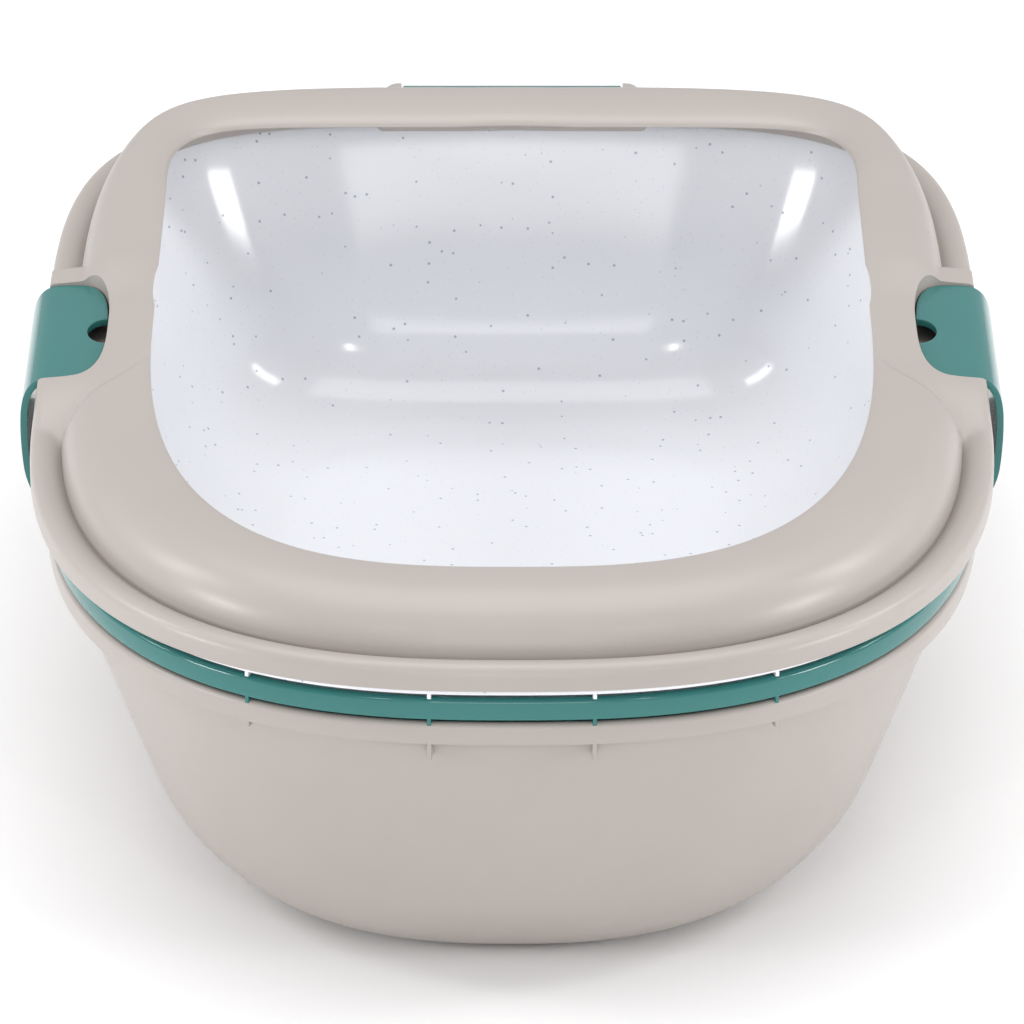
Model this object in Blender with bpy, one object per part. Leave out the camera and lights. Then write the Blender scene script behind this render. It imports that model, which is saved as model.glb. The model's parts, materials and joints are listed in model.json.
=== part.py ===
"""Cat litter box with a clip-on hood: three nested trays, an open-topped hood and three rocker clips.

Metres, +Z up, front towards -Y. The origin is at the middle of the footprint, on the floor.
Every tray has the same mould: the sieve and the upper tray sit one stacking pitch higher each.
"""

import math

import bmesh
import bpy
import numpy as np
from mathutils import Matrix, Vector

# Plan: half a superellipse at the front, straight sides, and a squarer half superellipse at the rear
WIDTH = 0.396
LENGTH = 0.590
FRONT_DEPTH, FRONT_POWER = 0.251, 2.55
REAR_DEPTH, REAR_POWER = 0.255, 4.0
STATIONS = 56
OUTLINE_SAMPLES = 1440

# Trays
TRAY_HEIGHT = 0.127
PITCH = 0.0108
WALL = 0.0016
WALL_STEPS = 3
FLOOR = 0.0020
RIM_INSET = 0.0066
SKIRT_DEPTH = 0.0092
SKIRT_THICK = 0.0018
RIM_ROLL = 0.0022
WALL_TOP_INSET = 0.0095
SIDE_DRAFT, FRONT_DRAFT, REAR_DRAFT = 0.0485, 0.0314, 0.034
BASE_FRONT_POWER = 2.6
BASE_FILLET = 0.036
FILLET_STEPS = 3

# Slots of the sieve: staggered rows across the flat floor
SLOT_LENGTH, SLOT_WIDTH = 0.030, 0.008
SLOT_PITCH_X, SLOT_PITCH_Y = 0.038, 0.026
SLOT_REACH = (0.080, 0.170)
SLOT_CUT_DEPTH = 0.020

# Hood
LIP_BOTTOM = 0.144
LIP_SHOULDER = 0.1505
FLANGE_TOP = 0.1546
LIP_ROUND = ((0.0014, 0.1533), (0.0048, FLANGE_TOP), (0.0088, 0.1539))
GROOVE_INSET, GROOVE_Z = 0.0130, 0.1512
CREST_Z = 0.1750
CREST_SIDE, CREST_FRONT, CREST_REAR = 0.0320, 0.0430, 0.0390
CREST_REAR_POWER = 7.2
BULGE_STEPS = (0.08, 0.28, 0.6, 1.0)
BULGE_POWER = 2.3
EDGE_Z = 0.1732
EDGE_ROUND_SHARE, EDGE_ROUND_DROP = 0.35, 0.0004
HOOD_WALL = 0.0020
OPENING_HALF = 0.150
OPENING_MID_Y = 0.020
OPENING_FRONT, OPENING_FRONT_POWER = 0.263, 2.9
OPENING_REAR, OPENING_REAR_POWER = 0.208, 9.0

# Clips, in a local frame: origin on the hinge axis, +X outward, +Y along the axis
CLIP_WIDTH = 0.098
CLIP_THICK = 0.0028
PLATE_Z = 0.0046
LOBE_REACH, LOBE_CORNER = 0.0200, 0.0150
LOBE_POWER = 3.0
NOTCH_RADIUS, NOTCH_DEPTH = 0.0125, 0.0080
WEB_SHARE, WEB_END_GAP = 0.8, 0.002
TRUNNION_RADIUS, TRUNNION_REACH = 0.0020, 0.0040
TRUNNION_GAP = 0.0004
HINGE_Z = 0.1605
SIDE_HINGE_X, SIDE_HINGE_Y = 0.1900, 0.0100
REAR_HINGE_Y = 0.2870

# Bosses that carry the clips, in the clips' local frame
BOSS_WIDTH = 0.138
BOSS_IN, BOSS_OUT = 0.0310, 0.0076
BOSS_BASE = 0.1495
BOSS_TOP_IN, BOSS_TOP_OUT = 0.1700, 0.1655
BOSS_EDGE = 0.0030
BOSS_SLOPE = 0.012
POCKET_FLOOR = 0.1552
POCKET_GAP = 0.0008
POCKET_CLEAR = 0.030

TAUPE = (0.62, 0.56, 0.50)
PETROL = (0.045, 0.235, 0.215)
GRANITE_WHITE = (0.80, 0.83, 0.88)


def clear_scene():
    for item in list(bpy.data.objects):
        bpy.data.objects.remove(item, do_unlink=True)


def plastic(name, color, roughness):
    material = bpy.data.materials.new(name)
    material.use_nodes = True
    shader = material.node_tree.nodes["Principled BSDF"]
    shader.inputs["Base Color"].default_value = (*color, 1.0)
    shader.inputs["Roughness"].default_value = roughness
    shader.inputs["Metallic"].default_value = 0.0
    return material


def link(name, bm, material, place=None):
    """Make the bmesh an object of this name, placed by the matrix where one is given."""
    bmesh.ops.recalc_face_normals(bm, faces=bm.faces[:])
    mesh = bpy.data.meshes.new(name)
    bm.to_mesh(mesh)
    bm.free()
    mesh.shade_smooth()
    mesh.set_sharp_from_angle(angle=math.radians(35))
    if material:
        mesh.materials.append(material)
    item = bpy.data.objects.new(name, mesh)
    bpy.context.scene.collection.objects.link(item)
    if place:
        item.matrix_world = place
    return item


def helper(name, bm, place=None):
    """A cutter or a joining shape that the build leaves out."""
    item = link(name, bm, None, place)
    item.hide_render = True
    item.display_type = "WIRE"
    return item


def apply_boolean(item, other, operation):
    modifier = item.modifiers.new(f"{operation.lower()}_{other.name}", "BOOLEAN")
    modifier.operation = operation
    modifier.solver = "EXACT"
    modifier.object = other


# Plan outlines, all read at the same even angles about the origin

def superellipse(half, mid_front, front, front_power, mid_rear, rear, rear_power):
    """Radii, at the stations' angles, of two superellipse halves joined by straight sides."""
    turn = np.linspace(0.0, math.pi, OUTLINE_SAMPLES)
    side = np.linspace(mid_front, mid_rear, OUTLINE_SAMPLES)
    ends = []
    for middle, reach, power in ((mid_rear, rear, rear_power), (mid_front, -front, front_power)):
        across = half * np.sign(np.cos(turn)) * np.abs(np.cos(turn)) ** (2.0 / power)
        ends.append((across, middle + reach * np.sin(turn) ** (2.0 / power)))
    x = np.concatenate([ends[0][0], ends[1][0], np.full_like(side, half), np.full_like(side, -half)])
    y = np.concatenate([ends[0][1], ends[1][1], side, side])
    wanted = np.linspace(0.0, 2.0 * math.pi, STATIONS, endpoint=False)
    return np.interp(wanted, np.arctan2(y, x), np.hypot(x, y), period=2.0 * math.pi)


def plan(side, front=None, rear=None, front_power=FRONT_POWER, rear_power=REAR_POWER):
    """Radii of the outer plan drawn in by these insets at the sides, the front and the rear."""
    front = side if front is None else front
    rear = side if rear is None else rear
    return superellipse(
        WIDTH / 2 - side,
        FRONT_DEPTH - LENGTH / 2, FRONT_DEPTH - front, front_power,
        LENGTH / 2 - REAR_DEPTH, REAR_DEPTH - rear, rear_power,
    )


def opening_plan():
    return superellipse(
        OPENING_HALF,
        OPENING_MID_Y, OPENING_FRONT, OPENING_FRONT_POWER,
        OPENING_MID_Y, OPENING_REAR, OPENING_REAR_POWER,
    )


def ring_points(radii, heights):
    """The points of one loop: a radius and a height for each station."""
    turn = np.linspace(0.0, 2.0 * math.pi, STATIONS, endpoint=False)
    heights = np.broadcast_to(heights, radii.shape)
    return [Vector((r * math.cos(a), r * math.sin(a), z)) for r, a, z in zip(radii, turn, heights)]


def first_ring(bm, points):
    ring = [bm.verts.new(point) for point in points]
    for index, vert in enumerate(ring):
        bm.edges.new((ring[index - 1], vert))
    return ring


def grow(bm, ring, points, closed=True):
    """Extrude a ring or a row of vertices and move the new one onto the points."""
    start = 0 if closed else 1
    edges = [bm.edges.get((ring[index - 1], ring[index])) for index in range(start, len(ring))]
    made = bmesh.ops.extrude_edge_only(bm, edges=edges)["geom"]
    fresh = {part for part in made if isinstance(part, bmesh.types.BMVert)}
    grown = []
    for vert, point in zip(ring, points):
        new = next(e.other_vert(vert) for e in vert.link_edges if e.other_vert(vert) in fresh)
        grown.append((new, point))
    for new, point in grown:
        new.co = point
    return [new for new, _ in grown]


# Trays

def wall_insets(height, inner):
    """Side, front and rear insets of a tray's wall at a height above its base, and its front power."""
    share = 1.0 - height / TRAY_HEIGHT
    extra = WALL if inner else 0.0
    if height < BASE_FILLET:
        radius = BASE_FILLET - (FLOOR if inner else 0.0)
        drop = BASE_FILLET - height
        extra = BASE_FILLET - math.sqrt(max(radius * radius - drop * drop, 0.0))
    insets = [WALL_TOP_INSET + draft * share + extra for draft in (SIDE_DRAFT, FRONT_DRAFT, REAR_DRAFT)]
    return insets + [FRONT_POWER + (BASE_FRONT_POWER - FRONT_POWER) * share]


def fillet_heights(inner):
    """Heights that step round the base fillet, from the floor up to the straight wall."""
    radius = BASE_FILLET - (FLOOR if inner else 0.0)
    angles = [math.pi / 2 * step / FILLET_STEPS for step in range(FILLET_STEPS + 1)]
    return [BASE_FILLET - radius * math.cos(angle) for angle in angles]


def tray_profile():
    """(insets, height) pairs from the base's edge, up the outside, over the rim and down to the floor."""
    plate = TRAY_HEIGHT - SKIRT_THICK
    climb = [BASE_FILLET + (plate - BASE_FILLET) * step / WALL_STEPS for step in range(1, WALL_STEPS)]
    outer = [(wall_insets(z, False), z) for z in fillet_heights(False) + climb + [plate]]
    skirt_in = RIM_INSET + SKIRT_THICK
    rim = [
        ([skirt_in] * 3, plate),
        ([skirt_in] * 3, TRAY_HEIGHT - SKIRT_DEPTH),
        ([RIM_INSET] * 3, TRAY_HEIGHT - SKIRT_DEPTH),
        ([RIM_INSET] * 3, TRAY_HEIGHT - RIM_ROLL),
        ([RIM_INSET + RIM_ROLL * 0.3] * 3, TRAY_HEIGHT - RIM_ROLL * 0.3),
        ([RIM_INSET + RIM_ROLL] * 3, TRAY_HEIGHT),
        (wall_insets(TRAY_HEIGHT, False), TRAY_HEIGHT),
        (wall_insets(plate - WALL, True), plate - WALL),
    ]
    inner = [(wall_insets(z, True), z) for z in reversed(fillet_heights(True) + climb)]
    return outer + rim + inner


def tray(name, lift, material):
    bm = bmesh.new()
    rows = tray_profile()
    ring = first_ring(bm, ring_points(plan(*rows[0][0]), rows[0][1] + lift))
    bm.faces.new(ring)
    for insets, height in rows[1:]:
        ring = grow(bm, ring, ring_points(plan(*insets), height + lift))
    bm.faces.new(ring)
    return link(name, bm, material)


def slot_centres():
    """Staggered slot centres inside an ellipse on the floor."""
    reach_x, reach_y = SLOT_REACH
    rows = int(reach_y // SLOT_PITCH_Y)
    for row in range(-rows, rows + 1):
        shift = SLOT_PITCH_X / 2 if row % 2 else 0.0
        for column in range(-3, 4):
            x, y = column * SLOT_PITCH_X + shift, row * SLOT_PITCH_Y
            if (x / reach_x) ** 2 + (y / reach_y) ** 2 < 1.0:
                yield x, y


def sieve_cutter(lift):
    bm = bmesh.new()
    size = (SLOT_LENGTH, SLOT_WIDTH, SLOT_CUT_DEPTH, 1.0)
    for x, y in slot_centres():
        box = Matrix.Translation((x, y, lift)) @ Matrix.Diagonal(size)
        bmesh.ops.create_cube(bm, size=1.0, matrix=box)
    return helper("slot_cutter", bm)


# Hood

def hood_rows():
    """Outer surface of the hood as (radii, heights) rows, from the lip's foot to the opening's edge."""
    groove = plan(GROOVE_INSET)
    edge = opening_plan()
    crest = plan(CREST_SIDE, CREST_FRONT, CREST_REAR, rear_power=CREST_REAR_POWER)
    rows = [(plan(0.0), LIP_BOTTOM), (plan(0.0), LIP_SHOULDER)]
    rows += [(plan(inset), height) for inset, height in LIP_ROUND]
    rows.append((groove, GROOVE_Z))
    for share in BULGE_STEPS:
        rise = (1.0 - (1.0 - share) ** BULGE_POWER) ** (1.0 / BULGE_POWER)
        rows.append((groove + (crest - groove) * share, GROOVE_Z + (CREST_Z - GROOVE_Z) * rise))
    rows.append((edge + (crest - edge) * EDGE_ROUND_SHARE, CREST_Z - EDGE_ROUND_DROP))
    rows.append((edge, EDGE_Z))
    return rows


def hood_underside(rows):
    """The same rows moved in by the wall thickness, square to the section."""
    moved = []
    for index, (radii, height) in enumerate(rows):
        before = rows[max(index - 1, 0)]
        after = rows[min(index + 1, len(rows) - 1)]
        run, rise = after[0] - before[0], after[1] - before[1]
        length = np.hypot(run, rise)
        drop = height + run / length * HOOD_WALL
        moved.append((radii - rise / length * HOOD_WALL, np.maximum(drop, LIP_BOTTOM)))
    return moved


def hood_shell(material):
    bm = bmesh.new()
    outer = hood_rows()
    loops = outer + list(reversed(hood_underside(outer)))
    start = first_ring(bm, ring_points(*loops[0]))
    ring = start
    for radii, heights in loops[1:]:
        ring = grow(bm, ring, ring_points(radii, heights))
    ends = [bm.edges.get((loop[i - 1], loop[i])) for loop in (start, ring) for i in range(STATIONS)]
    bmesh.ops.bridge_loops(bm, edges=ends)
    return link("hood", bm, material)


def prism(bm, outline, length):
    """A solid with this outline in XZ, centred along Y."""
    face = bm.faces.new([bm.verts.new((x, -length / 2, z)) for x, z in outline])
    made = bmesh.ops.extrude_face_region(bm, geom=[face])["geom"]
    moved = [part for part in made if isinstance(part, bmesh.types.BMVert)]
    bmesh.ops.translate(bm, verts=moved, vec=(0.0, length, 0.0))


def boss(name, place):
    """A saddle from the bulge out to the lip, with its two ends sloped."""
    bm = bmesh.new()
    base = BOSS_BASE - HINGE_Z
    outline = [
        (-BOSS_IN, base),
        (BOSS_OUT, base),
        (BOSS_OUT, BOSS_TOP_OUT - BOSS_EDGE - HINGE_Z),
        (BOSS_OUT - BOSS_EDGE, BOSS_TOP_OUT - HINGE_Z),
        (-BOSS_IN, BOSS_TOP_IN - HINGE_Z),
    ]
    prism(bm, outline, BOSS_WIDTH)
    for vert in bm.verts:
        if vert.co.z > base + 1e-6:
            vert.co.y -= math.copysign(BOSS_SLOPE, vert.co.y)
    return helper(name, bm, place)


def pocket(name, place):
    """The room over and around a clip's plate, open to the outside, and the two trunnion holes."""
    bm = bmesh.new()
    reach = LOBE_REACH + POCKET_GAP
    floor = POCKET_FLOOR - HINGE_Z
    outline = [(-reach, floor), (POCKET_CLEAR, floor), (POCKET_CLEAR, POCKET_CLEAR), (-reach, POCKET_CLEAR)]
    prism(bm, outline, CLIP_WIDTH + 2 * POCKET_GAP)
    return helper(name, bm, place)


def trunnions(name, place, gap):
    bm = bmesh.new()
    length = CLIP_WIDTH + 2 * TRUNNION_REACH + 2 * gap
    turn = Matrix.Rotation(math.pi / 2, 4, "X")
    radius = TRUNNION_RADIUS + gap
    bmesh.ops.create_cone(
        bm, cap_ends=True, segments=12, radius1=radius, radius2=radius, depth=length, matrix=turn
    )
    return helper(name, bm, place)


# Clips

def clip_path():
    """Centre line of the clip from over the axis to the hook's tip, in the local XZ plane."""
    return [
        (-0.0010, PLATE_Z),
        (0.0050, 0.0043),
        (0.0095, 0.0026),
        (0.0125, -0.0010),
        (0.0138, -0.0070),
        (0.0138, -0.0220),
        (0.0126, -0.0380),
        (0.0095, -0.0470),
        (0.0062, -0.0500),
        (0.0022, -0.0496),
    ]


def lobe_start(along):
    """X of the clip's inboard edge at a place along its width: a lobe with a half-round notch."""
    share = abs(along) / (CLIP_WIDTH / 2)
    start = -LOBE_REACH + LOBE_CORNER * (1.0 - (1.0 - share ** LOBE_POWER) ** (1.0 / LOBE_POWER))
    if abs(along) < NOTCH_RADIUS:
        start += NOTCH_DEPTH * math.sqrt(1.0 - (along / NOTCH_RADIUS) ** 2)
    return start


def clip_columns():
    """Places along the clip's width, closer together round the notch and towards the lobe's corners."""
    half = [0.0, 0.006, 0.0105, 0.0124, 0.0135, 0.026, 0.038, 0.045, 0.049]
    return [-y for y in reversed(half[1:])] + half


def clip(name, place, material):
    """A curved plate with a hooked foot and a trunnion along its hinge axis."""
    bm = bmesh.new()
    columns = clip_columns()
    row = [bm.verts.new((lobe_start(y), y, PLATE_Z)) for y in columns]
    for pair in zip(row, row[1:]):
        bm.edges.new(pair)
    for x, z in clip_path():
        row = grow(bm, row, [(x, y, z) for y in columns], closed=False)
    bmesh.ops.recalc_face_normals(bm, faces=bm.faces[:])
    bmesh.ops.solidify(bm, geom=bm.faces[:], thickness=CLIP_THICK)
    item = link(name, bm, material, place)
    for other in (hinge_web(f"{name}_web", place), trunnions(f"{name}_trunnions", place, 0.0)):
        apply_boolean(item, other, "UNION")
    return item


def hinge_web(name, place):
    """The rib under the plate that holds the trunnion."""
    bm = bmesh.new()
    half = TRUNNION_RADIUS * WEB_SHARE
    outline = [(-half, -half), (half, -half), (half, PLATE_Z), (-half, PLATE_Z)]
    prism(bm, outline, CLIP_WIDTH - 2 * WEB_END_GAP)
    return helper(name, bm, place)


def clip_places():
    """Clip name and the matrix of its local frame, whose +X points outward."""
    left = Matrix.Translation((-SIDE_HINGE_X, SIDE_HINGE_Y, HINGE_Z))
    right = Matrix.Translation((SIDE_HINGE_X, SIDE_HINGE_Y, HINGE_Z))
    rear = Matrix.Translation((0.0, REAR_HINGE_Y, HINGE_Z))
    return {
        "clip_left": left @ Matrix.Rotation(math.pi, 4, "Z"),
        "clip_right": right,
        "clip_rear": rear @ Matrix.Rotation(math.pi / 2, 4, "Z"),
    }


def hood(material):
    item = hood_shell(material)
    for name, place in clip_places().items():
        apply_boolean(item, boss(f"{name}_boss", place), "UNION")
        apply_boolean(item, pocket(f"{name}_pocket", place), "DIFFERENCE")
        apply_boolean(item, trunnions(f"{name}_bores", place, TRUNNION_GAP), "DIFFERENCE")
    return item


def main():
    clear_scene()
    taupe = plastic("taupe_plastic", TAUPE, 0.45)
    petrol = plastic("petrol_plastic", PETROL, 0.30)
    white = plastic("granite_white_plastic", GRANITE_WHITE, 0.20)
    tray("lower_tray", 0.0, taupe)
    sieve = tray("sieve", PITCH, petrol)
    apply_boolean(sieve, sieve_cutter(PITCH), "DIFFERENCE")
    tray("upper_tray", 2 * PITCH, white)
    hood(taupe)
    for name, place in clip_places().items():
        clip(name, place, petrol)


main()
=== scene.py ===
import json
import math

import bmesh
import bpy
import numpy as np
from mathutils import Matrix, Vector


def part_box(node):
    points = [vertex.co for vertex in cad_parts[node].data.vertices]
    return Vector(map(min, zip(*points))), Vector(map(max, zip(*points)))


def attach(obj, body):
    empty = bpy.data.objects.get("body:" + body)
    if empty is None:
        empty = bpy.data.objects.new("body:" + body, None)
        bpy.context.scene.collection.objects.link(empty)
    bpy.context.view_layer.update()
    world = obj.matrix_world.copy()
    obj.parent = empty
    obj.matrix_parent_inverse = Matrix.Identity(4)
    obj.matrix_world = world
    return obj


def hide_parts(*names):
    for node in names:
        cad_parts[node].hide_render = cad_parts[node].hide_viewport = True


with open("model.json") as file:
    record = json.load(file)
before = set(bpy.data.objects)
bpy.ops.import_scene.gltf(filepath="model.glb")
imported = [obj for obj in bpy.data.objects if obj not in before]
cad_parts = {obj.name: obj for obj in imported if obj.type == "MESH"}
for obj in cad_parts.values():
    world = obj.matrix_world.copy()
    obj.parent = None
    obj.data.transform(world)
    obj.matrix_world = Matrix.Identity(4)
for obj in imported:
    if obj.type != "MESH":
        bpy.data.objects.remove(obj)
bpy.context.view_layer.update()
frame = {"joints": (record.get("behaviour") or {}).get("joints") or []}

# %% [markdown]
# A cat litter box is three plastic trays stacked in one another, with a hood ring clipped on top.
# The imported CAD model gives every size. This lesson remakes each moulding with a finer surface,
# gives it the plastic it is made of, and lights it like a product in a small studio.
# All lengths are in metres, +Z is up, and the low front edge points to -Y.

MM = 0.001

# %% [markdown]
# Four boxes of the CAD nodes give the plan's width and length and the heights where each tray sits.
# The rest of the shape is the mould maker's: how far the walls lean, how thick they are, and how
# round the foot is. These are the same driving sizes that the CAD solids were made from.

# %% Sizes
HOOD_LOW, HOOD_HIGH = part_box("hood")
TRAY_LOW, TRAY_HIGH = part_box("lower_tray")
WIDTH = HOOD_HIGH.x - HOOD_LOW.x
LENGTH = HOOD_HIGH.y - HOOD_LOW.y
TRAY_HEIGHT = TRAY_HIGH.z - TRAY_LOW.z
LIFTS = {name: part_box(name)[0].z for name in ("lower_tray", "sieve", "upper_tray")}

FRONT_DEPTH, FRONT_POWER = 0.251, 2.55
REAR_DEPTH, REAR_POWER = 0.255, 4.0
WALL, FLOOR = 1.6 * MM, 2.0 * MM
RIM_INSET = HOOD_HIGH.x - TRAY_HIGH.x
SKIRT_DEPTH, SKIRT_THICK = 9.2 * MM, 1.8 * MM
WALL_TOP_INSET = 9.5 * MM
SIDE_DRAFT, FRONT_DRAFT, REAR_DRAFT = 48.5 * MM, 31.4 * MM, 34 * MM
BASE_FRONT_POWER = 2.6
BASE_FILLET = 36 * MM
print("hood", round(WIDTH, 3), "by", round(LENGTH, 3), "tray height", round(TRAY_HEIGHT, 3))

# %% [markdown]
# Seen from above, every edge of the box is the same kind of curve: half of a superellipse at the
# front, straight sides, and a squarer half at the rear. A superellipse is an ellipse whose power
# can be changed: 2 is an ellipse, and a higher power is closer to a rectangle.
# Reading each outline as a radius at the same set of angles lets one loop of vertices be extruded
# into the next without twisting. The angles are closer together where the clips sit, because the
# hood has its finest detail there.

# %% The plan's outlines
SAMPLES = 4000


def superellipse(half, mid_front, front, front_power, mid_rear, rear, rear_power):
    """Angles and radii about the origin of two superellipse halves joined by straight sides."""
    turn = np.linspace(0.0, math.pi, SAMPLES)
    side = np.linspace(mid_front, mid_rear, SAMPLES)
    ends = []
    for middle, reach, power in ((mid_rear, rear, rear_power), (mid_front, -front, front_power)):
        across = half * np.sign(np.cos(turn)) * np.abs(np.cos(turn)) ** (2.0 / power)
        ends.append((across, middle + reach * np.abs(np.sin(turn)) ** (2.0 / power)))
    x = np.concatenate([
        ends[0][0], ends[1][0], np.full_like(side, half), np.full_like(side, -half),
    ])
    y = np.concatenate([ends[0][1], ends[1][1], side, side])
    angle, radius = np.arctan2(y, x), np.hypot(x, y)
    order = np.argsort(angle)
    return angle[order], radius[order]


def outline(angles, side, front=None, rear=None, front_power=FRONT_POWER, rear_power=REAR_POWER):
    """Radii of the hood's outer edge drawn in by these insets at the sides, front and rear."""
    front = side if front is None else front
    rear = side if rear is None else rear
    known = superellipse(
        WIDTH / 2 - side,
        FRONT_DEPTH - LENGTH / 2, FRONT_DEPTH - front, front_power,
        LENGTH / 2 - REAR_DEPTH, REAR_DEPTH - rear, rear_power,
    )
    return np.interp(angles, *known, period=2.0 * math.pi)


def even_angles(count, crowding=None):
    """Angles that step evenly along the hood's edge, closer together where they are crowded."""
    fine = np.linspace(0.0, 2.0 * math.pi, SAMPLES, endpoint=False)
    radius = outline(fine, 0.0)
    x, y = radius * np.cos(fine), radius * np.sin(fine)
    step = np.hypot(np.diff(x, append=x[0]), np.diff(y, append=y[0]))
    if crowding is not None:
        step = step * (1.0 + crowding(x, y))
    walked = np.concatenate([[0.0], np.cumsum(step)])
    return np.interp(np.linspace(0.0, walked[-1], count, endpoint=False), walked[:-1], fine)


print("edge of the hood is", round(float(outline(np.array([0.0]), 0.0)[0]), 4), "from the middle")

# %% [markdown]
# Growing a shell: a circle of vertices from bmesh.ops.create_circle is moved onto the first
# outline, then extruded again and again. Each extrusion is moved onto the next row of the profile.
# One function does this for every tray and for the hood.

# %% Growing a shell row by row


def place_ring(ring, angles, radii, heights):
    heights = np.broadcast_to(heights, radii.shape)
    for vert, angle, radius, height in zip(ring, angles, radii, heights):
        vert.co = (radius * math.cos(angle), radius * math.sin(angle), height)


def start_ring(bm, angles, radii, heights):
    """A closed loop of edges on the first outline."""
    ring = bmesh.ops.create_circle(bm, segments=len(angles), radius=1.0, cap_ends=False)["verts"]
    ring = sorted(ring, key=lambda v: math.atan2(v.co.y, v.co.x) % (2.0 * math.pi))
    place_ring(ring, angles, radii, heights)
    return ring


def grow_ring(bm, ring, angles, radii, heights):
    """Extrude the loop and move the new one onto the next outline."""
    edges = [bm.edges.get((ring[i - 1], ring[i])) for i in range(len(ring))]
    made = bmesh.ops.extrude_edge_only(bm, edges=edges)["geom"]
    fresh = {part for part in made if isinstance(part, bmesh.types.BMVert)}
    grown = [next(e.other_vert(v) for e in v.link_edges if e.other_vert(v) in fresh) for v in ring]
    place_ring(grown, angles, radii, heights)
    return grown


SHARP_DEGREES = 40.0


def finish_mesh(name, bm):
    """Turn the bmesh into a smooth-shaded object at the origin."""
    bmesh.ops.recalc_face_normals(bm, faces=bm.faces[:])
    mesh = bpy.data.meshes.new(name)
    bm.to_mesh(mesh)
    bm.free()
    mesh.shade_smooth()
    mesh.set_sharp_from_angle(angle=math.radians(SHARP_DEGREES))
    piece = bpy.data.objects.new(name, mesh)
    bpy.context.scene.collection.objects.link(piece)
    print(name, len(mesh.polygons), "faces")
    return piece


# %% [markdown]
# The trays. All three come from the same mould: a shallow bowl with leaning walls, a round foot,
# and a rim that turns outward and then down in a short skirt. The skirt stiffens the edge and
# hides the gap to the next tray. The profile is a list of insets and heights that runs up the
# outside, over the rim, and down the inside to the floor, with small arcs at every corner, because
# injection moulded plastic never has a knife edge.

# %% A tray's profile
TRAY_STATIONS = 240
RIM_PLATE = TRAY_HEIGHT - SKIRT_THICK
RIM_ROLL, EDGE_ROLL = 2.2 * MM, 1.8 * MM
WALL_BELOW_PLATE = 2.5 * MM
FOOT_STEPS, CLIMB_STEPS = 12, 6
INNER_EDGE = WALL_TOP_INSET + WALL
DRAFTS = (SIDE_DRAFT, FRONT_DRAFT, REAR_DRAFT)


def wall_insets(height, inner):
    """Side, front and rear insets of the wall at a height above the base, and its front power."""
    share = 1.0 - height / TRAY_HEIGHT
    extra = WALL if inner else 0.0
    if height < BASE_FILLET:
        radius = BASE_FILLET - (FLOOR if inner else 0.0)
        drop = BASE_FILLET - height
        extra = BASE_FILLET - math.sqrt(max(radius * radius - drop * drop, 0.0))
    insets = [WALL_TOP_INSET + draft * share + extra for draft in DRAFTS]
    return insets + [FRONT_POWER + (BASE_FRONT_POWER - FRONT_POWER) * share]


def wall_rows(inner):
    """Rows from the floor round the foot and up the wall."""
    radius = BASE_FILLET - (FLOOR if inner else 0.0)
    quarter = math.pi / 2 / FOOT_STEPS
    foot = [BASE_FILLET - radius * math.cos(quarter * step) for step in range(FOOT_STEPS + 1)]
    rise = RIM_PLATE - WALL_BELOW_PLATE - BASE_FILLET
    climb = [BASE_FILLET + rise * step / CLIMB_STEPS for step in range(1, CLIMB_STEPS + 1)]
    return [(wall_insets(z, inner), z) for z in foot + climb]


def even(inset, height):
    """A row with the same inset at the sides, front and rear."""
    return ([inset] * 3, height)


def corner(inset, height, radius, start, end, steps=4):
    """Rows along an arc: the angle is 0 towards the outside and 90 degrees towards the top."""
    rows = []
    for step in range(steps + 1):
        angle = math.radians(start + (end - start) * step / steps)
        rows.append(even(inset - radius * math.cos(angle), height + radius * math.sin(angle)))
    return rows


def rim_rows():
    """Rows from under the rim's plate, round the skirt, over the top and onto the inner wall."""
    skirt_in = RIM_INSET + SKIRT_THICK
    half_skirt = SKIRT_THICK / 2
    foot = TRAY_HEIGHT - SKIRT_DEPTH + half_skirt
    rows = [even(skirt_in + 0.5 * MM, RIM_PLATE), even(skirt_in, RIM_PLATE - 0.6 * MM)]
    rows += [even(skirt_in, foot)]
    rows += corner(RIM_INSET + half_skirt, foot, half_skirt, 180, 360, 6)[1:]
    rows += [even(RIM_INSET, TRAY_HEIGHT - RIM_ROLL - 2.0 * MM)]
    rows += corner(RIM_INSET + RIM_ROLL, TRAY_HEIGHT - RIM_ROLL, RIM_ROLL, 0, 90, 6)
    rows += corner(INNER_EDGE - EDGE_ROLL, TRAY_HEIGHT - EDGE_ROLL, EDGE_ROLL, 90, 160, 6)
    return rows


def tray(name, lift):
    """One tray as a closed shell."""
    angles = even_angles(TRAY_STATIONS)
    rows = wall_rows(False) + rim_rows() + list(reversed(wall_rows(True)))
    bm = bmesh.new()
    ring = start_ring(bm, angles, outline(angles, *rows[0][0]), rows[0][1] + lift)
    bm.faces.new(ring)
    for insets, height in rows[1:]:
        ring = grow_ring(bm, ring, angles, outline(angles, *insets), height + lift)
    bm.faces.new(ring)
    return finish_mesh(name, bm)


lower_tray = tray("lower_tray_moulding", LIFTS["lower_tray"])
sieve = tray("sieve_moulding", LIFTS["sieve"])
upper_tray = tray("upper_tray_moulding", LIFTS["upper_tray"])

# %% [markdown]
# Boolean modifiers join and cut finished shells. Applying each one at once keeps the objects
# simple: the evaluated mesh replaces the old one, and the tool is deleted. The tools are closed
# solids that start from a flat outline and are extruded upward.

# %% Joining and cutting


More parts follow.
